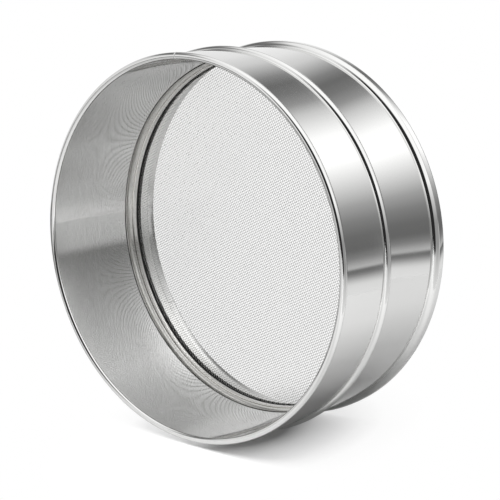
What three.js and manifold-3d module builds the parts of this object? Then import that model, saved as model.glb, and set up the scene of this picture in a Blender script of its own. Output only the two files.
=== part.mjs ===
// Flour sieve: a round drum sieve of polished stainless steel, standing on its lower rim.
// Two sheet hoops stand one inside the other. The upper hoop is the wall of the flour bowl, and its
// top edge is rolled out over the lower hoop. The lower hoop is the outer shell and the skirt under
// the cloth, with a bead swaged round its middle and its bottom edge stepped out and curled in.
// The wire cloth lies on a seat ring inside the skirt. A black seal and a hemmed press ring hold
// its edge down from inside the bowl, and a wire stiffens each rim.
// Millimetres, +Z up along the drum's axis, origin in the middle of the face that it stands on.

import * as THREE from "three";
import { mergeVertices } from "three/addons/utils/BufferGeometryUtils.js";
import Module from "manifold-3d";

const wasm = await Module();
wasm.setup();

// Hoops
const HEIGHT = 82;
const BORE_RADIUS = 96; // inner face of the upper hoop
const SHEET = 0.6; // thickness of both hoops
const WALL_GAP = 2; // hollow between the two walls
const FIT = 0.3; // clearance between pieces that touch

// Upper rim, a rolled edge
const UPPER_ROLL_RADIUS = 1.8;
const ROLL_SLIT = 0.4; // gap between the roll's last edge and the wall

// Bead, swaged out of the lower hoop
const BEAD_HEIGHT = 47; // middle of the bead above the table
const BEAD_RISE = 2;
const BEAD_CREST_RADIUS = 2;
const BEAD_FILLET_RADIUS = 0.6;

// Lower rim, stepped out of the lower hoop and curled in underneath
const RIM_FOOT_HEIGHT = 7.7; // where the step leaves the wall
const RIM_RISE = 2.6;
const RIM_SHOULDER_RADIUS = 3;
const RIM_FILLET_RADIUS = 0.7;
const RIM_CORNER_RADIUS = 1.1;
const RIM_LIP_HEIGHT = 5.5; // how far the curled edge comes back up

// Wire cloth, drawn as a coarse flat net in the place of the fine weave
const CLOTH_HEIGHT = 16; // underside of the cloth above the table
const CLOTH_THICKNESS = 1;
const CLOTH_PITCH = 10.4;
const CLOTH_BAR = 1.2; // width of a bar of the net
const BAR_THICKNESS = 0.5;
const LAYER_STEP = 0.3; // the bars of one direction lie this much above those of the other
const CLOTH_TURN = THREE.MathUtils.degToRad(27); // the weave lies askew to the drum's axes

// Rings at the cloth's edge
const RING_SHEET = 0.7;
const SEAL_HEIGHT = 1;
const PRESS_HEIGHT = 7.9;
const HEM_HEIGHT = 3.3; // the press ring's lower edge is folded back up this far
const SEAT_WIDTH = 6.3; // flange under the cloth
const SEAT_HEIGHT = 9; // leg against the skirt

// Facets
const ROUND_STEPS = 56; // around the drum
const ROLL_STEP = Math.PI / 6; // around a roll or a bend
const WIRE_SIDES = 6;
const HEM_STEPS = 4; // around the fold of the hem

// Sizes that follow from the ones above
const SKIRT_RADIUS = BORE_RADIUS + SHEET + WALL_GAP; // inner face of the lower hoop
const SHELL_RADIUS = SKIRT_RADIUS + SHEET; // outer face of the lower hoop
const CLOTH_RADIUS = SKIRT_RADIUS - FIT;
const CLOTH_TOP = CLOTH_HEIGHT + CLOTH_THICKNESS;
const SEAL_BASE = CLOTH_TOP + FIT;
const PRESS_BASE = SEAL_BASE + SEAL_HEIGHT + FIT;
const PRESS_RADIUS = BORE_RADIUS - FIT; // outer face of the press ring and the seal
const HEM_RADIUS = PRESS_RADIUS - 2 * RING_SHEET; // inner face of the hem
const SEAT_RADIUS = SKIRT_RADIUS - FIT;
const SEAT_TOP = CLOTH_HEIGHT - FIT;
const SEAT_OPENING = SEAT_RADIUS - SEAT_WIDTH;

// The roll is a polygon with a flat on its crest, so its crest lies nearer than its corners.
const UPPER_ROLL_MIDDLE = [
  BORE_RADIUS + UPPER_ROLL_RADIUS,
  HEIGHT - UPPER_ROLL_RADIUS * Math.cos(ROLL_STEP / 2),
];
const SHELL_TOP = UPPER_ROLL_MIDDLE[1] - UPPER_ROLL_RADIUS - FIT; // under the roll
const RIM_RADIUS = SHELL_RADIUS + RIM_RISE; // outer face of the lower rim
const LOWER_WIRE_RADIUS = (RIM_RADIUS - SKIRT_RADIUS) / 2 - SHEET - FIT;
const LOWER_WIRE_MIDDLE = [(RIM_RADIUS + SKIRT_RADIUS) / 2, SHEET + FIT + LOWER_WIRE_RADIUS];

const polishedSteel = new THREE.MeshStandardMaterial({ color: 0xd6d7d8, metalness: 1, roughness: 0.1 });
const satinSteel = new THREE.MeshStandardMaterial({ color: 0xd6d2cb, metalness: 1, roughness: 0.3 });
const drawnWire = new THREE.MeshStandardMaterial({ color: 0xb9babb, metalness: 1, roughness: 0.35 });
const clothWire = new THREE.MeshStandardMaterial({ color: 0xdedede, metalness: 1, roughness: 0.3 });
const blackRubber = new THREE.MeshStandardMaterial({ color: 0x141414, metalness: 0, roughness: 0.8 });

// Turns a closed section of [radius, height] points round the drum's axis. The points run up the
// side that faces the axis and down the other.
function revolve(section) {
  const closed = [section[0], ...section.toReversed()];
  const outline = closed.map(([radius, height]) => new THREE.Vector2(radius, height));
  return new THREE.LatheGeometry(outline, ROUND_STEPS).rotateX(Math.PI / 2);
}

// A closed geometry as a solid that can be joined to others.
function solidOf(geometry) {
  const surface = geometry.clone();
  surface.deleteAttribute("normal");
  surface.deleteAttribute("uv");
  const { attributes, index } = mergeVertices(surface);
  const vertProperties = Float32Array.from(attributes.position.array);
  const triVerts = Uint32Array.from(index.array);
  return new wasm.Manifold(new wasm.Mesh({ numProp: 3, vertProperties, triVerts }));
}

function geometryOf(solid) {
  const { vertProperties, triVerts } = solid.getMesh();
  const geometry = new THREE.BufferGeometry();
  geometry.setAttribute("position", new THREE.BufferAttribute(vertProperties, 3));
  geometry.setIndex(new THREE.BufferAttribute(triVerts, 1));
  return geometry;
}

// Points on an arc of a sheet's outer face, each with the way that the face looks there. A hollow
// arc looks towards its middle.
function bend([middleRadius, middleHeight], bendRadius, from, to, hollow = false) {
  const steps = Math.ceil(Math.abs(to - from) / ROLL_STEP);
  return Array.from({ length: steps + 1 }, (_, step) => {
    const angle = from + ((to - from) * step) / steps;
    const out = [Math.cos(angle), Math.sin(angle)];
    return {
      place: [middleRadius + bendRadius * out[0], middleHeight + bendRadius * out[1]],
      look: hollow ? [-out[0], -out[1]] : out,
    };
  });
}

// The closed section of a sheet, from the points of its outer face listed from top to bottom.
function sheetSection(face) {
  const outer = face.map(({ place }) => place);
  const inner = face.map(({ place, look }) => [
    place[0] - SHEET * look[0],
    place[1] - SHEET * look[1],
  ]);
  return [...inner.reverse(), ...outer];
}

// The upper hoop stands on the cloth's edge, and only its top edge is rolled.
function upperHoop() {
  const [rollRadius, rollHeight] = UPPER_ROLL_MIDDLE;
  const lastAngle = -Math.acos((SHEET + ROLL_SLIT - UPPER_ROLL_RADIUS) / UPPER_ROLL_RADIUS);
  const angles = [Math.PI];
  for (let angle = Math.PI - ROLL_STEP / 2; angle > lastAngle + ROLL_STEP / 2; angle -= ROLL_STEP) {
    angles.push(angle);
  }
  angles.push(lastAngle);
  const face = (faceRadius) =>
    angles.map((angle) => [
      rollRadius + faceRadius * Math.cos(angle),
      rollHeight + faceRadius * Math.sin(angle),
    ]);
  return revolve([
    [BORE_RADIUS + SHEET, CLOTH_TOP + FIT],
    [BORE_RADIUS, CLOTH_TOP + FIT],
    ...face(UPPER_ROLL_RADIUS),
    ...face(UPPER_ROLL_RADIUS - SHEET).reverse(),
  ]);
}

// The bead's outer face: a hollow fillet, the crest and a hollow fillet, each tangent to the next.
function beadFace() {
  const reach = BEAD_CREST_RADIUS + BEAD_FILLET_RADIUS;
  const slope = Math.acos(1 - BEAD_RISE / reach);
  const crest = [SHELL_RADIUS + BEAD_RISE - BEAD_CREST_RADIUS, BEAD_HEIGHT];
  const fillet = (side) => [SHELL_RADIUS + BEAD_FILLET_RADIUS, BEAD_HEIGHT + side * reach * Math.sin(slope)];
  return [
    ...bend(fillet(1), BEAD_FILLET_RADIUS, Math.PI, Math.PI + slope, true),
    ...bend(crest, BEAD_CREST_RADIUS, slope, -slope).slice(1),
    ...bend(fillet(-1), BEAD_FILLET_RADIUS, Math.PI - slope, Math.PI, true).slice(1),
  ];
}

// The lower rim's outer face: out over a shoulder, down, and round underneath to the curled lip.
function lowerRimFace() {
  const reach = RIM_SHOULDER_RADIUS + RIM_FILLET_RADIUS;
  const slope = Math.acos(1 - RIM_RISE / reach);
  const fillet = [SHELL_RADIUS + RIM_FILLET_RADIUS, RIM_FOOT_HEIGHT];
  const shoulder = [RIM_RADIUS - RIM_SHOULDER_RADIUS, RIM_FOOT_HEIGHT - reach * Math.sin(slope)];
  const outerCorner = [RIM_RADIUS - RIM_CORNER_RADIUS, RIM_CORNER_RADIUS];
  const innerCorner = [SKIRT_RADIUS + RIM_CORNER_RADIUS, RIM_CORNER_RADIUS];
  return [
    ...bend(fillet, RIM_FILLET_RADIUS, Math.PI, Math.PI + slope, true),
    ...bend(shoulder, RIM_SHOULDER_RADIUS, slope, 0).slice(1),
    ...bend(outerCorner, RIM_CORNER_RADIUS, 0, -Math.PI / 2),
    ...bend(innerCorner, RIM_CORNER_RADIUS, -Math.PI / 2, -Math.PI),
    { place: [SKIRT_RADIUS, RIM_LIP_HEIGHT], look: [-1, 0] },
  ];
}

// The lower hoop reaches from just under the roll of the upper rim down to the table.
function lowerHoop() {
  const top = { place: [SHELL_RADIUS, SHELL_TOP], look: [1, 0] };
  return revolve(sheetSection([top, ...beadFace(), ...lowerRimFace()]));
}

// A wire lies in the hollow of its rim.
function rimWire([middleRadius, middleHeight], wireRadius) {
  const section = Array.from({ length: WIRE_SIDES }, (_, side) => {
    const angle = (-2 * Math.PI * side) / WIRE_SIDES;
    return [middleRadius + wireRadius * Math.cos(angle), middleHeight + wireRadius * Math.sin(angle)];
  });
  return revolve(section);
}

// A flat net of crossing bars, joined to a plain margin where the rings hold it.
function wireCloth() {
  const margin = revolve([
    [SEAT_OPENING, CLOTH_HEIGHT],
    [SEAT_OPENING, CLOTH_TOP],
    [CLOTH_RADIUS, CLOTH_TOP],
    [CLOTH_RADIUS, CLOTH_HEIGHT],
  ]);
  const barReach = (SEAT_OPENING + CLOTH_RADIUS) / 2;
  const barsEachSide = Math.floor(SEAT_OPENING / CLOTH_PITCH);
  const middle = CLOTH_HEIGHT + CLOTH_THICKNESS / 2;
  const layers = [
    { direction: CLOTH_TURN, height: middle - LAYER_STEP / 2 },
    { direction: CLOTH_TURN + Math.PI / 2, height: middle + LAYER_STEP / 2 },
  ];
  let net = solidOf(margin);
  for (const { direction, height } of layers) {
    for (let bar = -barsEachSide; bar <= barsEachSide; bar++) {
      const offset = bar * CLOTH_PITCH;
      const farSide = Math.abs(offset) + CLOTH_BAR / 2;
      const length = 2 * Math.sqrt(barReach ** 2 - farSide ** 2);
      const box = new THREE.BoxGeometry(length, CLOTH_BAR, BAR_THICKNESS);
      box.translate(0, offset, height).rotateZ(direction);
      net = net.add(solidOf(box));
    }
  }
  return geometryOf(net);
}

// The seal packs the cloth's edge under the press ring.
function edgeSeal() {
  return revolve([
    [HEM_RADIUS, SEAL_BASE],
    [HEM_RADIUS, SEAL_BASE + SEAL_HEIGHT],
    [PRESS_RADIUS, SEAL_BASE + SEAL_HEIGHT],
    [PRESS_RADIUS, SEAL_BASE],
  ]);
}

// The press ring is a band of sheet with its lower edge folded inwards and back up.
function pressRing() {
  const foldRadius = RING_SHEET;
  const foldMiddle = PRESS_RADIUS - foldRadius;
  const fold = Array.from({ length: HEM_STEPS + 1 }, (_, step) => {
    const angle = (Math.PI * step) / HEM_STEPS;
    return [
      foldMiddle + foldRadius * Math.cos(angle),
      PRESS_BASE + foldRadius - foldRadius * Math.sin(angle),
    ];
  });
  return revolve([
    ...fold,
    [HEM_RADIUS, PRESS_BASE + HEM_HEIGHT],
    [foldMiddle, PRESS_BASE + HEM_HEIGHT],
    [foldMiddle, PRESS_BASE + PRESS_HEIGHT],
    [PRESS_RADIUS, PRESS_BASE + PRESS_HEIGHT],
  ]);
}

// The seat ring is an angle: a flange under the cloth and a leg against the skirt.
function seatRing() {
  return revolve([
    [SEAT_OPENING, SEAT_TOP - RING_SHEET],
    [SEAT_OPENING, SEAT_TOP],
    [SEAT_RADIUS, SEAT_TOP],
    [SEAT_RADIUS, SEAT_TOP - SEAT_HEIGHT],
    [SEAT_RADIUS - RING_SHEET, SEAT_TOP - SEAT_HEIGHT],
    [SEAT_RADIUS - RING_SHEET, SEAT_TOP - RING_SHEET],
  ]);
}

const sieve = new THREE.Group();
sieve.name = "flour_sieve";

function addPiece(name, geometry, material) {
  const piece = new THREE.Mesh(geometry, material);
  piece.name = name;
  sieve.add(piece);
}

addPiece("upper_hoop", upperHoop(), polishedSteel);
addPiece("upper_rim_wire", rimWire(UPPER_ROLL_MIDDLE, UPPER_ROLL_RADIUS - SHEET - FIT), drawnWire);
addPiece("lower_hoop", lowerHoop(), polishedSteel);
addPiece("lower_rim_wire", rimWire(LOWER_WIRE_MIDDLE, LOWER_WIRE_RADIUS), drawnWire);
addPiece("wire_cloth", wireCloth(), clothWire);
addPiece("edge_seal", edgeSeal(), blackRubber);
addPiece("press_ring", pressRing(), satinSteel);
addPiece("seat_ring", seatRing(), satinSteel);

export default sieve;
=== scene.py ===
# Flour sieve of polished stainless steel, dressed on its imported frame.
# Metres, in the frame's own axes: +Z runs along the drum's axis, from the lower rim to the open
# upper rim. In the picture the drum lies on its side, so +Y is up there and the table lies under
# the lower rim, the widest part of the drum.

import math

import bpy
from mathutils import Matrix, Vector


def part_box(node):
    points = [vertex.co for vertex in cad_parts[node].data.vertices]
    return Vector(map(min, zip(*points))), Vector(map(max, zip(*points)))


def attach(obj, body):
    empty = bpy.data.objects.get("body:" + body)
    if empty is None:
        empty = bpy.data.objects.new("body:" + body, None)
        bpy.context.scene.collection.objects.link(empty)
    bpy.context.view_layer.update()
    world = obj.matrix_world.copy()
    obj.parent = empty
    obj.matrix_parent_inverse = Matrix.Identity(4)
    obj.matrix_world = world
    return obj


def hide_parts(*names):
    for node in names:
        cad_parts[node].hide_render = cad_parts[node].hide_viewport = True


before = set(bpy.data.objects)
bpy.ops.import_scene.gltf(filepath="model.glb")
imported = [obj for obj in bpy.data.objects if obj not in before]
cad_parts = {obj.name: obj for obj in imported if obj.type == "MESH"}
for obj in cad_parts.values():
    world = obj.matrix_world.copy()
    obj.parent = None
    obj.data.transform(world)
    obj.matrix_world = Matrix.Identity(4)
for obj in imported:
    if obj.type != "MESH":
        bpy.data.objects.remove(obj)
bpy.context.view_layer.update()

MM = 0.001

# Hoops, as in the solids
SHEET = 0.6 * MM
WALL_GAP = 2 * MM
BORE_RADIUS = 96 * MM
SKIRT_RADIUS = BORE_RADIUS + SHEET + WALL_GAP
SHELL_RADIUS = SKIRT_RADIUS + SHEET
UPPER_ROLL_RADIUS = 1.8 * MM
ROLL_SLIT = 0.4 * MM

# Bead swaged out of the lower hoop
BEAD_HEIGHT = 47 * MM
BEAD_RISE = 2 * MM
BEAD_CREST_RADIUS = 2 * MM
BEAD_FILLET_RADIUS = 0.6 * MM

# Lower rim, stepped out of the lower hoop and curled in underneath
RIM_FOOT_HEIGHT = 7.7 * MM
RIM_RISE = 2.6 * MM
RIM_RADIUS = SHELL_RADIUS + RIM_RISE
RIM_SHOULDER_RADIUS = 3 * MM
RIM_FILLET_RADIUS = 0.7 * MM
RIM_CORNER_RADIUS = 1.1 * MM
RIM_LIP_HEIGHT = 5.5 * MM

# Rings at the cloth's edge
RING_SHEET = 0.7 * MM
HEM_HEIGHT = 3.3 * MM
HEM_EDGE_ANGLE = 0.2  # where the hem's round edge meets the band
PRESS_EDGE = 0.1 * MM  # step at the top of the band
CROWN_POWER = 4
CROWN_STEPS = 8
SEAT_WIDTH = 4.2 * MM  # narrower than in the solids, so that the press ring hides it
SEAT_BEND_RADIUS = 1.2 * MM

# Butt seams, where the strip of each hoop was welded into a ring
UPPER_SEAM_ANGLE = math.radians(93)
LOWER_SEAM_ANGLE = math.radians(213)
SEAM_WIDTH = 0.9 * MM
SEAM_HEIGHT = 0.1 * MM
SEAM_DEPTH = 0.15 * MM

# Weave of the cloth
WEAVE_PITCH = 1.3 * MM
WIRE_RADIUS = 0.13 * MM
WIRE_SIDES = 4
WEAVE_TURN = math.radians(27)

# Grain of the steel sheet
LINE_LENGTH = 60 * MM
LINE_SPACING = 0.9 * MM
LINE_HEIGHT = 0.02 * MM
SMUDGE_SIZE = 45 * MM
GLOSS_SPREAD = 0.3

# Fineness of the round surfaces
ROUND_STEPS = 288
ROLL_STEP = math.radians(10)
SHARP_ANGLE = math.radians(35)

# Camera of the picture
LENS = 100
SENSOR = 36
NEAREST = 10 * MM
CAMERA_PLACE = Vector((462, 144, 585.5)) * MM
CAMERA_AIM = Vector((8.5, -4.4, 40)) * MM
PICTURE_UP = Vector((0, 1, 0))

# Soft lamp, in metres and watts
LAMP_SIZE = 0.8
LAMP_POWER = 14
LAMP_PLACE = Vector((0.15, 0.85, 0.45))
LAMP_AIM = Vector((0.1, -0.1, 0.04))
LAMP_UP = Vector((0, 0, 1))

# Table under the drum
TABLE_COLOUR = "#f4f4f4"
TABLE_EDGE = 250 * MM
TABLE_REACH = 900 * MM
# Painted shade on the table, as the steel sees it: greys that are darker beside the drum, where its
# shadow falls, and darkest far to the left; pairs of a place across the table in millimetres and a
# grey
TABLE_PAINTED_SHADE = [
    (-500, 0.2), (-370, 0.25), (-310, 0.6), (-250, 0.6), (-160, 0.5), (-100, 0.65), (0, 0.75),
    (60, 0.68), (100, 0.58), (135, 0.65), (165, 0.76), (210, 0.83), (250, 0.87),
]
# The same by the place along the drum's axis: painted shade that dims the far end
TABLE_FAR_PAINTED_SHADE = [(-440, 0.3), (-340, 1)]
# Painted light: a white glow on the table, for the camera alone, that keeps the shadow close to the
# drum, by millimetres from the shadow's middle
CONTACT_PLACE = Vector((10, 0, 45)) * MM
CONTACT_STRETCH = 1.6
TABLE_GLOW = [(18, 0), (24, 0.2), (30, 0.38), (42, 0.62), (50, 0.8), (60, 0.95), (80, 1)]
# The same painted glow on the left, by the place across the table
LEFT_GLOW = [(-30, 0.75), (-7, 0.55), (6, 0.3), (16, 0)]
# Share of light that the table lets through, by millimetres from the line that the drum rests on
UNDER_CLEAR = [(5, 0.25), (35, 0)]

upper_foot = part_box("upper_hoop")[0].z
upper_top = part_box("upper_hoop")[1].z
cloth_low, cloth_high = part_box("wire_cloth")
seal_low, seal_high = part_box("edge_seal")
press_low, press_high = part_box("press_ring")
seat_low, seat_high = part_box("seat_ring")


def linear(colour):
    """A colour written as an sRGB hex value, as linear RGBA."""
    shares = [int(colour[place:place + 2], 16) / 255 for place in (1, 3, 5)]
    light = [((s + 0.055) / 1.055) ** 2.4 if s > 0.04045 else s / 12.92 for s in shares]
    return (*light, 1)


def add(tree, kind, sockets=None, **settings):
    """Adds a node with its settings. A socket takes a value, or another node's output as a link."""
    node = tree.nodes.new(kind)
    for name, value in settings.items():
        setattr(node, name, value)
    for name, value in (sockets or {}).items():
        if isinstance(value, bpy.types.NodeSocket):
            tree.links.new(value, node.inputs[name])
        else:
            node.inputs[name].default_value = value
    return node


def grey_ramp(tree, value, stops, unit=1):
    """Greys that follow a value. Each stop is a place, in this unit, and a brightness."""
    first, last = stops[0][0], stops[-1][0]
    share = add(
        tree,
        "ShaderNodeMapRange",
        {"Value": value, "From Min": first * unit, "From Max": last * unit},
    )
    colours = add(tree, "ShaderNodeValToRGB", {0: share.outputs[0]})
    elements = colours.color_ramp.elements
    while len(elements) < len(stops):
        elements.new(1)
    for element, (place, grey) in zip(elements, stops):
        element.position = (place - first) / (last - first)
        element.color = (grey, grey, grey, 1)
    return colours.outputs[0]


def new_material(name):
    """An empty node material, with its tree and its shader."""
    material = bpy.data.materials.new(name)
    material.use_nodes = True
    tree = material.node_tree
    return material, tree, tree.nodes["Principled BSDF"]


def rolled_sheet(name, colour, roughness, line_depth):
    """Stainless sheet with the fine lines that polishing leaves along the strip."""
    material, tree, shader = new_material(name)
    place = add(tree, "ShaderNodeTexCoord")
    along = add(
        tree,
        "ShaderNodeMapping",
        {"Vector": place.outputs["UV"], "Scale": (1 / LINE_LENGTH, 1 / LINE_SPACING, 1)},
    )
    lines = add(
        tree,
        "ShaderNodeTexNoise",
        {"Vector": along.outputs["Vector"], "Scale": 1, "Detail": 3, "Roughness": 0.6},
    )
    smudges = add(
        tree,
        "ShaderNodeTexNoise",
        {"Vector": place.outputs["Object"], "Scale": 1 / SMUDGE_SIZE, "Detail": 4, "Roughness": 0.55},
    )
    gloss = add(
        tree,
        "ShaderNodeMath",
        {0: lines.outputs["Fac"], 1: smudges.outputs["Fac"]},
        operation="ADD",
    )
    rough = add(
        tree,
        "ShaderNodeMapRange",
        {
            "Value": gloss.outputs[0],
            "From Min": 1 - GLOSS_SPREAD,
            "From Max": 1 + GLOSS_SPREAD,
            "To Min": roughness * (1 - GLOSS_SPREAD),
            "To Max": roughness * (1 + GLOSS_SPREAD),
        },
    )
    bump = add(
        tree,
        "ShaderNodeBump",
        {"Height": lines.outputs["Fac"], "Strength": line_depth, "Distance": LINE_HEIGHT},
    )
    shader.inputs["Base Color"].default_value = linear(colour)
    shader.inputs["Metallic"].default_value = 1
    tree.links.new(rough.outputs[0], shader.inputs["Roughness"])
    tree.links.new(bump.outputs["Normal"], shader.inputs["Normal"])
    return material


def polished_steel():
    """Stainless steel sheet, rolled and mirror polished: clear reflections, faint lines round the
    drum. The lines are drawn 0.9 mm apart, far coarser than real grit, so that they show."""
    return rolled_sheet("polished_stainless_sheet", "#d8d8d7", 0.07, 0.12)


def bowl_steel():
    """The bowl's inner face, left with the satin of the rolling mill: soft reflections, in a darker
    grey than the polished sheet, which is painted shade inside the bowl.
    """
    return rolled_sheet("satin_stainless_sheet_with_painted_shade", "#969491", 0.28, 0.2)


def mill_steel():
    """The skirt's inside and the seat ring, left bare from the mill, with a soft image: a brighter
    grey than the polished sheet, which is painted light that lifts the shade under the cloth.
    """
    return rolled_sheet("bare_mill_stainless_sheet_with_painted_light", "#e8e8e6", 0.22, 0.2)


def satin_steel():
    """Bright rolled stainless strip of the press ring: clear reflections in a slightly warm grey."""
    return rolled_sheet("satin_stainless_strip", "#dad9d6", 0.08, 0.2)


def woven_wire():
    """Bright drawn stainless wire of the cloth: a broad gleam that varies from wire to wire."""
    material, tree, shader = new_material("woven_stainless_wire")
    place = add(tree, "ShaderNodeTexCoord")
    patches = add(
        tree,
        "ShaderNodeTexNoise",
        {"Vector": place.outputs["Object"], "Scale": 1 / (1.6 * MM), "Detail": 2},
    )
    rough = add(
        tree,
        "ShaderNodeMapRange",
        {
            "Value": patches.outputs["Fac"],
            "From Min": 0.3,
            "From Max": 0.7,
            "To Min": 0.24,
            "To Max": 0.4,
        },
    )
    shader.inputs["Base Color"].default_value = linear("#c8c8c6")
    shader.inputs["Metallic"].default_value = 1
    tree.links.new(rough.outputs[0], shader.inputs["Roughness"])
    return material


def drawn_wire():
    """Plain drawn steel wire inside the rims: dull, with marks of the die along it."""
    material, tree, shader = new_material("drawn_steel_wire")
    place = add(tree, "ShaderNodeTexCoord")
    marks = add(
        tree,
        "ShaderNodeTexNoise",
        {"Vector": place.outputs["Object"], "Scale": 1 / (0.7 * MM), "Detail": 3},
    )
    bump = add(
        tree,
        "ShaderNodeBump",
        {"Height": marks.outputs["Fac"], "Strength": 0.2, "Distance": 0.05 * MM},
    )
    shader.inputs["Base Color"].default_value = linear("#b9babb")
    shader.inputs["Metallic"].default_value = 1
    shader.inputs["Roughness"].default_value = 0.35
    tree.links.new(bump.outputs["Normal"], shader.inputs["Normal"])
    return material


def black_rubber():
    """Matt black of the cord along the cloth's edge, under the press ring, with a fine grain of about
    0.3 mm: it draws the black line there.
    """
    material, tree, shader = new_material("matt_black_cord")
    place = add(tree, "ShaderNodeTexCoord")
    grain = add(
        tree,
        "ShaderNodeTexNoise",
        {"Vector": place.outputs["Object"], "Scale": 1 / (0.3 * MM), "Detail": 2},
    )
    bump = add(
        tree,
        "ShaderNodeBump",
        {"Height": grain.outputs["Fac"], "Strength": 0.4, "Distance": 0.05 * MM},
    )
    shader.inputs["Base Color"].default_value = linear("#0c0c0c")
    shader.inputs["Roughness"].default_value = 0.6
    shader.inputs["IOR"].default_value = 1.52
    tree.links.new(bump.outputs["Normal"], shader.inputs["Normal"])
    return material


MATERIALS = {
    "polished_steel": polished_steel(),
    "bowl_steel": bowl_steel(),
    "mill_steel": mill_steel(),
    "satin_steel": satin_steel(),
    "woven_wire": woven_wire(),
    "drawn_wire": drawn_wire(),
    "black_rubber": black_rubber(),
}


def add_piece(name, mesh, finishes, node=None):
    """A finished piece of the sieve: it rides on the one body and may stand for a solid."""
    mesh.materials.clear()
    for finish in finishes:
        mesh.materials.append(MATERIALS[finish])
    piece = bpy.data.objects.new(name, mesh)
    bpy.context.scene.collection.objects.link(piece)
    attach(piece, "root")
    if node:
        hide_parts(node)
    return piece


def bend(middle, radius, start, end, hollow=False):
    """Points on an arc of a sheet's outer face, each with the way that the face looks there.
    A hollow arc looks towards its middle."""
    side = -1 if hollow else 1
    steps = max(2, math.ceil(abs(end - start) / ROLL_STEP))
    points = []
    for step in range(steps + 1):
        angle = start + (end - start) * step / steps
        out = Vector((math.cos(angle), math.sin(angle)))
        points.append((Vector(middle) + radius * out, side * out))
    return points


def arc(middle, radius, start, end):
    """Points of a section on an arc from one angle to another."""
    return [place for place, look in bend(middle, radius, start, end)]


def revolve(section, start_angle, second_finish=()):
    """A mesh of a closed section of radius and height points turned round the drum's axis.
    The points run up the side that faces the axis and down the other. Its UV map runs along the
    strip and across it, in metres, and parts at the start angle. The stretches of the section that
    are numbered in second_finish take the piece's second material."""
    around = [start_angle + 2 * math.pi * step / ROUND_STEPS for step in range(ROUND_STEPS)]
    verts = [
        (radius * math.cos(angle), radius * math.sin(angle), height)
        for angle in around
        for radius, height in section
    ]
    count = len(section)
    lengths = [0.0]
    for here, there in zip(section, section[1:] + section[:1]):
        lengths.append(lengths[-1] + math.dist(here, there))
    arc_step = 2 * math.pi * BORE_RADIUS / ROUND_STEPS
    faces = []
    face_uvs = []
    for step in range(ROUND_STEPS):
        here = step * count
        there = (step + 1) % ROUND_STEPS * count
        for point in range(count):
            after = (point + 1) % count
            faces.append((here + point, here + after, there + after, there + point))
            low, high = lengths[point], lengths[point + 1]
            left, right = step * arc_step, (step + 1) * arc_step
            face_uvs += [(left, low), (left, high), (right, high), (right, low)]
    mesh = bpy.data.meshes.new("revolved")
    mesh.from_pydata(verts, [], faces)
    uv_map = mesh.uv_layers.new(name="strip")
    for corner, uv in zip(uv_map.data, face_uvs):
        corner.uv = uv
    for polygon in mesh.polygons:
        if polygon.index % count in second_finish:
            polygon.material_index = 1
    mesh.shade_smooth()
    mesh.set_sharp_from_angle(angle=SHARP_ANGLE)
    return mesh


def upper_rim_face():
    """The outer face of the upper rim's roll, from the bowl's wall over the top to the lip."""
    middle = (BORE_RADIUS + UPPER_ROLL_RADIUS, upper_top - UPPER_ROLL_RADIUS)
    last = -math.acos((SHEET + ROLL_SLIT - UPPER_ROLL_RADIUS) / UPPER_ROLL_RADIUS)
    return bend(middle, UPPER_ROLL_RADIUS, math.pi, last)


def bead_face():
    """The bead's outer face: a hollow fillet, the crest and a hollow fillet, tangent to each other."""
    reach = BEAD_CREST_RADIUS + BEAD_FILLET_RADIUS
    slope = math.acos(1 - BEAD_RISE / reach)
    crest = (SHELL_RADIUS + BEAD_RISE - BEAD_CREST_RADIUS, BEAD_HEIGHT)
    fillet_radius = SHELL_RADIUS + BEAD_FILLET_RADIUS
    above = (fillet_radius, BEAD_HEIGHT + reach * math.sin(slope))
    below = (fillet_radius, BEAD_HEIGHT - reach * math.sin(slope))
    return [
        *bend(above, BEAD_FILLET_RADIUS, math.pi, math.pi + slope, hollow=True),
        *bend(crest, BEAD_CREST_RADIUS, slope, -slope)[1:],
        *bend(below, BEAD_FILLET_RADIUS, math.pi - slope, math.pi, hollow=True)[1:],
    ]


def lower_rim_face():
    """The lower rim's outer face: out over a shoulder, down, and underneath to the curled lip."""
    reach = RIM_SHOULDER_RADIUS + RIM_FILLET_RADIUS
    slope = math.acos(1 - RIM_RISE / reach)
    fillet = (SHELL_RADIUS + RIM_FILLET_RADIUS, RIM_FOOT_HEIGHT)
    shoulder = (RIM_RADIUS - RIM_SHOULDER_RADIUS, RIM_FOOT_HEIGHT - reach * math.sin(slope))
    outer_corner = (RIM_RADIUS - RIM_CORNER_RADIUS, RIM_CORNER_RADIUS)
    inner_corner = (SKIRT_RADIUS + RIM_CORNER_RADIUS, RIM_CORNER_RADIUS)
    return [
        *bend(fillet, RIM_FILLET_RADIUS, math.pi, math.pi + slope, hollow=True),
        *bend(shoulder, RIM_SHOULDER_RADIUS, slope, 0)[1:],
        *bend(outer_corner, RIM_CORNER_RADIUS, 0, -math.pi / 2),
        *bend(inner_corner, RIM_CORNER_RADIUS, -math.pi / 2, -math.pi),
        (Vector((SKIRT_RADIUS, RIM_LIP_HEIGHT)), Vector((-1, 0))),
    ]


def shell_face():
    """The lower hoop's outer face, from inside the upper rim's roll down to the curled lip."""
    top = (Vector((SHELL_RADIUS, upper_top - UPPER_ROLL_RADIUS)), Vector((1, 0)))
    return [top, *bead_face(), *lower_rim_face()]


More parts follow.
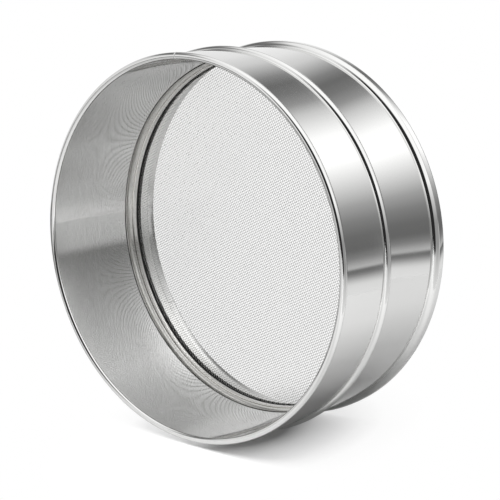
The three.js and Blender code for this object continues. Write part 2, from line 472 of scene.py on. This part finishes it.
def make_hoops():
    """The two sheet hoops. The bowl has a satin inner face, darkened with painted shade, the skirt a
    bare one, lightened with painted light, and the rest is polished."""
    roll = upper_rim_face()
    upper = [
        Vector((BORE_RADIUS + SHEET, upper_foot)),
        Vector((BORE_RADIUS, upper_foot)),
        *[place for place, look in roll],
        *[place - SHEET * look for place, look in reversed(roll)],
    ]
    shell = shell_face()
    lower = [place - SHEET * look for place, look in reversed(shell)]
    lower += [place for place, look in shell]
    upper_mesh = revolve(upper, UPPER_SEAM_ANGLE, second_finish=[1])
    lower_mesh = revolve(lower, LOWER_SEAM_ANGLE, second_finish=range(len(shell) - 1))
    upper_finish = ["polished_steel", "bowl_steel"]
    lower_finish = ["polished_steel", "mill_steel"]
    add_piece("upper_hoop_sheet", upper_mesh, upper_finish, "upper_hoop")
    add_piece("lower_hoop_sheet", lower_mesh, lower_finish, "lower_hoop")


def make_rings():
    """The press ring with its folded hem, the black cord under it and the seat ring under the cloth.
    """
    press_radius = press_high.x
    fold_middle = press_radius - RING_SHEET
    hem_radius = fold_middle - RING_SHEET
    hem_top = press_low.z + HEM_HEIGHT
    hem_edge = (hem_radius + RING_SHEET / 2, hem_top - RING_SHEET / 2)
    crown = press_high.z - hem_top
    crown_foot = press_radius - PRESS_EDGE - RING_SHEET
    press = [
        *arc((fold_middle, press_low.z + RING_SHEET), RING_SHEET, 0, -math.pi),
        *arc(hem_edge, RING_SHEET / 2, math.pi, HEM_EDGE_ANGLE),
        *[
            (crown_foot + RING_SHEET * share ** CROWN_POWER, hem_top + crown * share)
            for share in (step / CROWN_STEPS for step in range(CROWN_STEPS + 1))
        ],
        (press_radius, press_high.z),
    ]
    seal_bulge = (seal_high.z - seal_low.z) / 2
    seal_middle = (hem_radius + seal_bulge, seal_low.z + seal_bulge)
    seal = [
        *arc(seal_middle, seal_bulge, -math.pi / 2, -1.5 * math.pi),
        (press_radius, seal_high.z),
        (press_radius, seal_low.z),
    ]
    seat_radius = seat_high.x
    seat_opening = seat_radius - SEAT_WIDTH
    seat_bend = (seat_radius - SEAT_BEND_RADIUS, seat_high.z - SEAT_BEND_RADIUS)
    seat = [
        (seat_opening, seat_high.z - RING_SHEET),
        (seat_opening, seat_high.z),
        *arc(seat_bend, SEAT_BEND_RADIUS, math.pi / 2, 0),
        (seat_radius, seat_low.z),
        (seat_radius - RING_SHEET, seat_low.z),
        *arc(seat_bend, SEAT_BEND_RADIUS - RING_SHEET, 0, math.pi / 2),
    ]
    press_mesh = revolve(press, UPPER_SEAM_ANGLE)
    seal_mesh = revolve(seal, UPPER_SEAM_ANGLE)
    seat_mesh = revolve(seat, LOWER_SEAM_ANGLE)
    add_piece("press_ring_strip", press_mesh, ["satin_steel"], "press_ring")
    add_piece("black_cord_ring", seal_mesh, ["black_rubber"], "edge_seal")
    add_piece("seat_ring_strip", seat_mesh, ["mill_steel"], "seat_ring")


def ground_seam(path, angle):
    """A ground weld across a hoop: a low ridge along a path of radius and height points that
    follows the sheet's outer face, at one angle round the drum."""
    out = Vector((math.cos(angle), math.sin(angle), 0))
    across = Vector((-math.sin(angle), math.cos(angle), 0))
    up = Vector((0, 0, 1))
    ridge = [(-1, -SEAM_DEPTH), (-1, 0), (-0.5, 0.75 * SEAM_HEIGHT), (0, SEAM_HEIGHT)]
    ridge += [(-share, height) for share, height in ridge[-2::-1]]
    verts = []
    for index, (radius, height) in enumerate(path):
        before = Vector(path[max(index - 1, 0)])
        after = Vector(path[min(index + 1, len(path) - 1)])
        run = (after - before).normalized()
        normal = out * -run.y + up * run.x
        middle = out * radius + up * height
        verts += [middle + across * share * SEAM_WIDTH / 2 + normal * rise for share, rise in ridge]
    count = len(ridge)
    faces = [list(range(count)), list(range(len(verts) - count, len(verts)))[::-1]]
    for index in range(len(path) - 1):
        for point in range(count):
            here = index * count + point
            beside = index * count + (point + 1) % count
            faces.append((here, here + count, beside + count, beside))
    mesh = bpy.data.meshes.new("seam")
    mesh.from_pydata([tuple(vert) for vert in verts], [], faces)
    mesh.shade_smooth()
    mesh.set_sharp_from_angle(angle=SHARP_ANGLE)
    return mesh


def make_seams():
    """The welds that close the two strips into hoops."""
    upper_path = [(BORE_RADIUS, press_high.z), *[place for place, look in upper_rim_face()]]
    lower_path = [place for place, look in shell_face()]
    upper_mesh = ground_seam(upper_path, UPPER_SEAM_ANGLE)
    lower_mesh = ground_seam(lower_path, LOWER_SEAM_ANGLE)
    add_piece("upper_hoop_seam", upper_mesh, ["polished_steel"])
    add_piece("lower_hoop_seam", lower_mesh, ["polished_steel"])


def weave_tree():
    """Geometry nodes for the wires of one direction of a plain weave, cut to a round cloth.
    A square grid keeps only the edges along X. Its points rise and fall in turn, and a round
    section runs along each row."""
    tree = bpy.data.node_groups.new("woven_wires", "GeometryNodeTree")
    sizes = ("Cloth Radius", "Pitch", "Wire Radius", "Crimp", "Phase", "Turn", "Height")
    for name in sizes:
        tree.interface.new_socket(name, in_out="INPUT", socket_type="NodeSocketFloat")
    tree.interface.new_socket("Wire Sides", in_out="INPUT", socket_type="NodeSocketInt")
    tree.interface.new_socket("Material", in_out="INPUT", socket_type="NodeSocketMaterial")
    tree.interface.new_socket("Wires", in_out="OUTPUT", socket_type="NodeSocketGeometry")
    given = add(tree, "NodeGroupInput").outputs

    pitches = add(
        tree,
        "ShaderNodeMath",
        {0: given["Cloth Radius"], 1: given["Pitch"]},
        operation="DIVIDE",
    )
    each_side = add(tree, "ShaderNodeMath", {0: pitches.outputs[0]}, operation="FLOOR")
    gaps = add(tree, "ShaderNodeMath", {0: each_side.outputs[0], 1: 2}, operation="MULTIPLY")
    wires = add(tree, "ShaderNodeMath", {0: gaps.outputs[0], 1: 1}, operation="ADD").outputs[0]
    width = add(tree, "ShaderNodeMath", {0: gaps.outputs[0], 1: given["Pitch"]}, operation="MULTIPLY")
    span = width.outputs[0]
    grid = add(
        tree,
        "GeometryNodeMeshGrid",
        {"Size X": span, "Size Y": span, "Vertices X": wires, "Vertices Y": wires},
    )
    ends = add(tree, "GeometryNodeInputMeshEdgeVertices")
    step = add(
        tree,
        "ShaderNodeVectorMath",
        {0: ends.outputs["Position 1"], 1: ends.outputs["Position 2"]},
        operation="SUBTRACT",
    )
    step_across = add(tree, "ShaderNodeSeparateXYZ", {0: step.outputs[0]}).outputs["Y"]
    length_across = add(tree, "ShaderNodeMath", {0: step_across}, operation="ABSOLUTE")
    half_pitch = add(tree, "ShaderNodeMath", {0: given["Pitch"], 1: 2}, operation="DIVIDE")
    runs_across = add(
        tree,
        "ShaderNodeMath",
        {0: length_across.outputs[0], 1: half_pitch.outputs[0]},
        operation="GREATER_THAN",
    )
    rows = add(
        tree,
        "GeometryNodeDeleteGeometry",
        {"Geometry": grid.outputs["Mesh"], "Selection": runs_across.outputs[0]},
        domain="EDGE",
        mode="EDGE_FACE",
    )
    place = add(tree, "GeometryNodeInputPosition").outputs[0]
    reach = add(tree, "ShaderNodeVectorMath", {0: place}, operation="LENGTH").outputs["Value"]
    outside = add(
        tree,
        "ShaderNodeMath",
        {0: reach, 1: given["Cloth Radius"]},
        operation="GREATER_THAN",
    )
    cut = add(
        tree,
        "GeometryNodeDeleteGeometry",
        {"Geometry": rows.outputs[0], "Selection": outside.outputs[0]},
        domain="POINT",
        mode="ALL",
    )
    axes = add(tree, "ShaderNodeSeparateXYZ", {0: place}).outputs
    diagonal = add(tree, "ShaderNodeMath", {0: axes["X"], 1: axes["Y"]}, operation="ADD")
    crossing = add(
        tree,
        "ShaderNodeMath",
        {0: diagonal.outputs[0], 1: given["Pitch"]},
        operation="DIVIDE",
    )
    phased = add(
        tree,
        "ShaderNodeMath",
        {0: crossing.outputs[0], 1: given["Phase"]},
        operation="ADD",
    )
    half_turns = add(tree, "ShaderNodeMath", {0: phased.outputs[0], 1: math.pi}, operation="MULTIPLY")
    wave = add(tree, "ShaderNodeMath", {0: half_turns.outputs[0]}, operation="COSINE")
    rise = add(
        tree,
        "ShaderNodeMath",
        {0: wave.outputs[0], 1: given["Crimp"]},
        operation="MULTIPLY",
    )
    offset = add(tree, "ShaderNodeCombineXYZ", {"Z": rise.outputs[0]})
    crimped = add(
        tree,
        "GeometryNodeSetPosition",
        {"Geometry": cut.outputs[0], "Offset": offset.outputs[0]},
    )
    paths = add(tree, "GeometryNodeMeshToCurve", {"Mesh": crimped.outputs[0]})
    section = add(
        tree,
        "GeometryNodeCurvePrimitiveCircle",
        {"Resolution": given["Wire Sides"], "Radius": given["Wire Radius"]},
    )
    tubes = add(
        tree,
        "GeometryNodeCurveToMesh",
        {"Curve": paths.outputs[0], "Profile Curve": section.outputs[0], "Fill Caps": True},
    )
    smooth = add(tree, "GeometryNodeSetShadeSmooth", {0: tubes.outputs[0]})
    lift = add(tree, "ShaderNodeCombineXYZ", {"Z": given["Height"]})
    turn = add(tree, "ShaderNodeCombineXYZ", {"Z": given["Turn"]})
    laid = add(
        tree,
        "GeometryNodeTransform",
        {"Geometry": smooth.outputs[0], "Translation": lift.outputs[0], "Rotation": turn.outputs[0]},
    )
    real = add(tree, "GeometryNodeRealizeInstances", {0: laid.outputs[0]})
    finished = add(
        tree,
        "GeometryNodeSetMaterial",
        {"Geometry": real.outputs[0], "Material": given["Material"]},
    )
    add(tree, "NodeGroupOutput", {"Wires": finished.outputs[0]})
    return tree


def grow(tree, values):
    """The plain mesh that a geometry tree makes with these values of its named inputs."""
    carrier = bpy.data.objects.new("carrier", bpy.data.meshes.new("carrier"))
    bpy.context.scene.collection.objects.link(carrier)
    modifier = carrier.modifiers.new("grow", "NODES")
    modifier.node_group = tree
    for item in tree.interface.items_tree:
        if item.in_out == "INPUT":
            modifier[item.identifier] = values[item.name]
    depsgraph = bpy.context.evaluated_depsgraph_get()
    mesh = bpy.data.meshes.new_from_object(carrier.evaluated_get(depsgraph))
    carrier.modifiers.remove(modifier)
    bpy.data.objects.remove(carrier)
    return mesh


def make_cloth():
    """The wire cloth: warp and weft in a plain weave, askew to the drum's axes."""
    tree = weave_tree()
    directions = {"cloth_warp": (0, WEAVE_TURN), "cloth_weft": (1, WEAVE_TURN + math.pi / 2)}
    for name, (phase, turn) in directions.items():
        values = {
            "Cloth Radius": cloth_high.x - WIRE_RADIUS,
            "Pitch": WEAVE_PITCH,
            "Wire Radius": WIRE_RADIUS,
            "Crimp": WIRE_RADIUS,
            "Phase": float(phase),
            "Turn": turn,
            "Height": (cloth_low.z + cloth_high.z) / 2,
            "Wire Sides": WIRE_SIDES,
            "Material": MATERIALS["woven_wire"],
        }
        add_piece(name, grow(tree, values), ["woven_wire"], "wire_cloth")


def dress_wires():
    """The wires inside the rims stay as they are, with their own finish."""
    for node in ("upper_rim_wire", "lower_rim_wire"):
        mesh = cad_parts[node].data
        mesh.materials.clear()
        mesh.materials.append(MATERIALS["drawn_wire"])


def make_table():
    """A pale table under the drum as it lies. The picture sees a painted white glow all round the
    drum's shadow, and the steel sees the table in painted greys, darker beside the drum. For views
    from other sides the table is clear from below, and it lets light through to the steel along the
    line that the drum rests on."""
    material = bpy.data.materials.new("pale_table")
    material.use_nodes = True
    tree = material.node_tree
    tree.nodes.clear()
    place = add(tree, "ShaderNodeNewGeometry").outputs
    rays = add(tree, "ShaderNodeLightPath").outputs
    axes = add(tree, "ShaderNodeSeparateXYZ", {0: place["Position"]}).outputs

    # Painted shade: the table's greys for the steel, darker beside the drum and at the far end
    painted_table_shade = add(
        tree,
        "ShaderNodeMix",
        {
            "Factor": 1,
            6: grey_ramp(tree, axes["X"], TABLE_PAINTED_SHADE, MM),
            7: grey_ramp(tree, axes["Z"], TABLE_FAR_PAINTED_SHADE, MM),
        },
        data_type="RGBA",
        blend_type="MULTIPLY",
    )
    squeeze = Vector((1, 0, 1 / CONTACT_STRETCH))
    from_contact = add(
        tree,
        "ShaderNodeMapping",
        {"Vector": place["Position"], "Location": -CONTACT_PLACE * squeeze, "Scale": squeeze},
    )
    distance = add(tree, "ShaderNodeVectorMath", {0: from_contact.outputs[0]}, operation="LENGTH")
    colour = add(
        tree,
        "ShaderNodeMix",
        {"Factor": rays["Is Camera Ray"], 6: painted_table_shade.outputs[2], 7: linear(TABLE_COLOUR)},
        data_type="RGBA",
    )
    matt = add(tree, "ShaderNodeBsdfDiffuse", {"Color": colour.outputs[2]})
    # Painted light: the table glows white for the camera, except close round the drum's shadow
    white = add(tree, "ShaderNodeEmission", {"Strength": 1})
    painted_glow_share = add(
        tree,
        "ShaderNodeMath",
        {
            0: grey_ramp(tree, distance.outputs["Value"], TABLE_GLOW, MM),
            1: grey_ramp(tree, axes["X"], LEFT_GLOW, MM),
        },
        operation="MAXIMUM",
    )
    share = add(
        tree,
        "ShaderNodeMath",
        {0: painted_glow_share.outputs[0], 1: rays["Is Camera Ray"]},
        operation="MULTIPLY",
    )
    lit = add(
        tree,
        "ShaderNodeMixShader",
        {0: share.outputs[0], 1: matt.outputs[0], 2: white.outputs[0]},
    )
    from_line = add(tree, "ShaderNodeMath", {0: axes["X"]}, operation="ABSOLUTE")
    clear_share = add(
        tree,
        "ShaderNodeMix",
        {
            "Factor": rays["Is Camera Ray"],
            2: grey_ramp(tree, from_line.outputs[0], UNDER_CLEAR, MM),
            3: place["Backfacing"],
        },
    )
    clear = add(tree, "ShaderNodeBsdfTransparent")
    both = add(
        tree,
        "ShaderNodeMixShader",
        {0: clear_share.outputs[0], 1: lit.outputs[0], 2: clear.outputs[0]},
    )
    add(tree, "ShaderNodeOutputMaterial", {"Surface": both.outputs[0]})
    level = -RIM_RADIUS
    verts = [
        (-TABLE_REACH, level, -TABLE_REACH),
        (-TABLE_REACH, level, TABLE_REACH),
        (TABLE_EDGE, level, TABLE_REACH),
        (TABLE_EDGE, level, -TABLE_REACH),
    ]
    mesh = bpy.data.meshes.new("table")
    mesh.from_pydata(verts, [], [(0, 1, 2, 3)])
    mesh.materials.append(material)
    table = bpy.data.objects.new("table", mesh)
    bpy.context.scene.collection.objects.link(table)


# The studio as polished steel sees it: pairs of an angle round the drum's axis, in degrees from
# the right over the top, and a brightness. Behind the drum, as the outside sees it: a pale table
# that ends in a dark strip, a dark gap at the right, a bright panel, a dark gap and a panel.
REAR_LIGHT = [
    (-180, 0.9), (-90, 1.0), (-35, 1.06), (-27, 1.0), (-25, 0.94), (-19, 0.22), (-16, 0.17),
    (-15.5, 0.66), (-10, 0.3), (-5, 0.18), (3, 0.2), (12, 0.3), (21, 0.5), (30, 0.83), (48, 1.5),
    (66, 1.45), (84, 0.8), (92, 0.4), (101, 0.25), (110, 0.19), (118, 0.3), (135, 0.8), (150, 0.97),
    (176, 1.0), (180, 0.9),
]
# Behind the drum, as the bowl's wall sees it through the cloth: the same table, dimmer panels.
BOWL_LIGHT = [
    (-180, 0.9), (-173, 0.9), (-168, 0.3), (-152, 0.3), (-142, 1.0), (-14, 0.8), (-1, 0.7), (4, 0.2),
    (15, 0.32), (26, 0.44), (45, 0.68), (60, 0.82), (80, 1.0), (95, 0.82), (105, 0.72), (125, 0.6),
    (138, 0.58), (150, 0.8), (180, 0.85),
]
# The same for the ring and the low part of the bowl, close to the cloth: brighter panels.
RING_LIGHT = [
    (-180, 0.9), (-173, 0.9), (-168, 0.3), (-152, 0.3), (-142, 1.0), (-14, 0.85), (-1, 0.75), (4, 0.3),
    (15, 0.5), (26, 0.75), (45, 1.25), (60, 1.7), (80, 1.9), (95, 1.6), (105, 1.1), (125, 0.8),
    (138, 0.75), (150, 0.9), (180, 0.9),
]
# Beside the drum: a bright panel from the right to overhead and a dark gap at the upper left.
SIDE_LIGHT = [
    (-180, 0.9), (-90, 0.95), (-30, 1.0), (-18, 0.8), (-8, 0.4), (4, 0.4), (14, 0.8), (24, 1.35),
    (60, 1.45), (100, 1.4), (124, 1.15), (133, 0.35), (137, 0.2), (143, 0.2), (148, 0.75), (156, 0.95),
    (180, 0.95),
]
# Towards the open side, by the sine of the height above the horizon: the dark room at the right,
# between the pale table and a panel overhead. The left is a pale wall.
ROOM_LIGHT = [
    (-1, 1.0), (-0.35, 1.05), (-0.22, 0.9), (-0.18, 0.03), (0.62, 0.03), (0.76, 1.2), (1, 1.4),
]
WALL_LIGHT = 1.1
# Straight behind the drum it is dark.
DEEP_LIGHT = 0.2
# Where one light gives way to the next, as limits of the direction's share along an axis.
WALL_TO_ROOM = (-0.35, -0.15)
DEEP_TO_REAR = (-0.92, -0.86)
REAR_TO_INSIDE = (-0.755, -0.735)
RING_TO_BOWL = (-0.72, -0.66)
BEHIND_TO_SIDE = (-0.62, -0.54)
SIDE_TO_FRONT = (0.55, 0.68)
# Share of all this that falls on matt surfaces.
DIFFUSE_SHARE = 0.35


def make_studio():
    """The world: white behind the object, and soft panels with dark gaps for the steel."""
    world = bpy.data.worlds.new("studio")
    bpy.context.scene.world = world
    world.use_nodes = True
    tree = world.node_tree
    tree.nodes.clear()
    towards = add(tree, "ShaderNodeTexCoord").outputs["Generated"]
    axes = add(tree, "ShaderNodeSeparateXYZ", {0: towards}).outputs
    turn = add(tree, "ShaderNodeMath", {0: axes["Y"], 1: axes["X"]}, operation="ARCTAN2").outputs[0]
    degree = math.radians(1)
    rear = grey_ramp(tree, turn, REAR_LIGHT, degree)
    bowl = grey_ramp(tree, turn, BOWL_LIGHT, degree)
    ring = grey_ramp(tree, turn, RING_LIGHT, degree)
    side = grey_ramp(tree, turn, SIDE_LIGHT, degree)
    room = grey_ramp(tree, axes["Y"], ROOM_LIGHT)

    def blend(axis, limits, first, second):
        """One light giving way to another between two limits on an axis."""
        share = add(
            tree,
            "ShaderNodeMapRange",
            {"Value": axes[axis], "From Min": limits[0], "From Max": limits[1]},
            interpolation_type="SMOOTHSTEP",
        )
        mix = add(
            tree,
            "ShaderNodeMix",
            {"Factor": share.outputs[0], 6: first, 7: second},
            data_type="RGBA",
        )
        return mix.outputs[2]

    wall = (WALL_LIGHT, WALL_LIGHT, WALL_LIGHT, 1)
    front = blend("X", WALL_TO_ROOM, wall, room)
    dark = (DEEP_LIGHT, DEEP_LIGHT, DEEP_LIGHT, 1)
    deep = blend("Z", DEEP_TO_REAR, dark, rear)
    inside = blend("Z", RING_TO_BOWL, ring, bowl)
    behind = blend("Z", REAR_TO_INSIDE, deep, inside)
    beside = blend("Z", BEHIND_TO_SIDE, behind, side)
    around = blend("Z", SIDE_TO_FRONT, beside, front)
    rays = add(tree, "ShaderNodeLightPath").outputs
    strength = add(
        tree,
        "ShaderNodeMapRange",
        {"Value": rays["Is Diffuse Ray"], "To Min": 1, "To Max": DIFFUSE_SHARE},
    )
    panels = add(tree, "ShaderNodeBackground", {"Color": around, "Strength": strength.outputs[0]})
    white = add(tree, "ShaderNodeBackground", {"Color": (1, 1, 1, 1), "Strength": 1})
    seen = add(
        tree,
        "ShaderNodeMixShader",
        {0: rays["Is Camera Ray"], 1: panels.outputs[0], 2: white.outputs[0]},
    )
    add(tree, "ShaderNodeOutputWorld", {"Surface": seen.outputs[0]})


def facing(place, aim, up):
    """A matrix at a place that looks along -Z at an aim, with its Y axis towards up."""
    back = (place - aim).normalized()
    right = up.cross(back).normalized()
    axes = Matrix((right, back.cross(right), back)).transposed().to_4x4()
    return Matrix.Translation(place) @ axes


def make_lamp():
    """One broad soft lamp above the drum as it lies, which lights the table."""
    light = bpy.data.lights.new("soft_lamp", "AREA")
    light.shape = "DISK"
    light.size = LAMP_SIZE
    light.energy = LAMP_POWER
    lamp = bpy.data.objects.new("soft_lamp", light)
    lamp.matrix_world = facing(LAMP_PLACE, LAMP_AIM, LAMP_UP)
    lamp.visible_glossy = False
    bpy.context.scene.collection.objects.link(lamp)


def make_camera():
    """The camera of the picture."""
    data = bpy.data.cameras.new("camera")
    data.lens = LENS
    data.sensor_width = SENSOR
    data.clip_start = NEAREST
    camera = bpy.data.objects.new("camera", data)
    camera.matrix_world = facing(CAMERA_PLACE, CAMERA_AIM, PICTURE_UP)
    bpy.context.scene.collection.objects.link(camera)
    bpy.context.scene.camera = camera


make_camera()
make_hoops()
make_seams()
make_rings()
make_cloth()
dress_wires()
make_table()
make_studio()
make_lamp()
bpy.context.scene.view_settings.view_transform = "Standard"
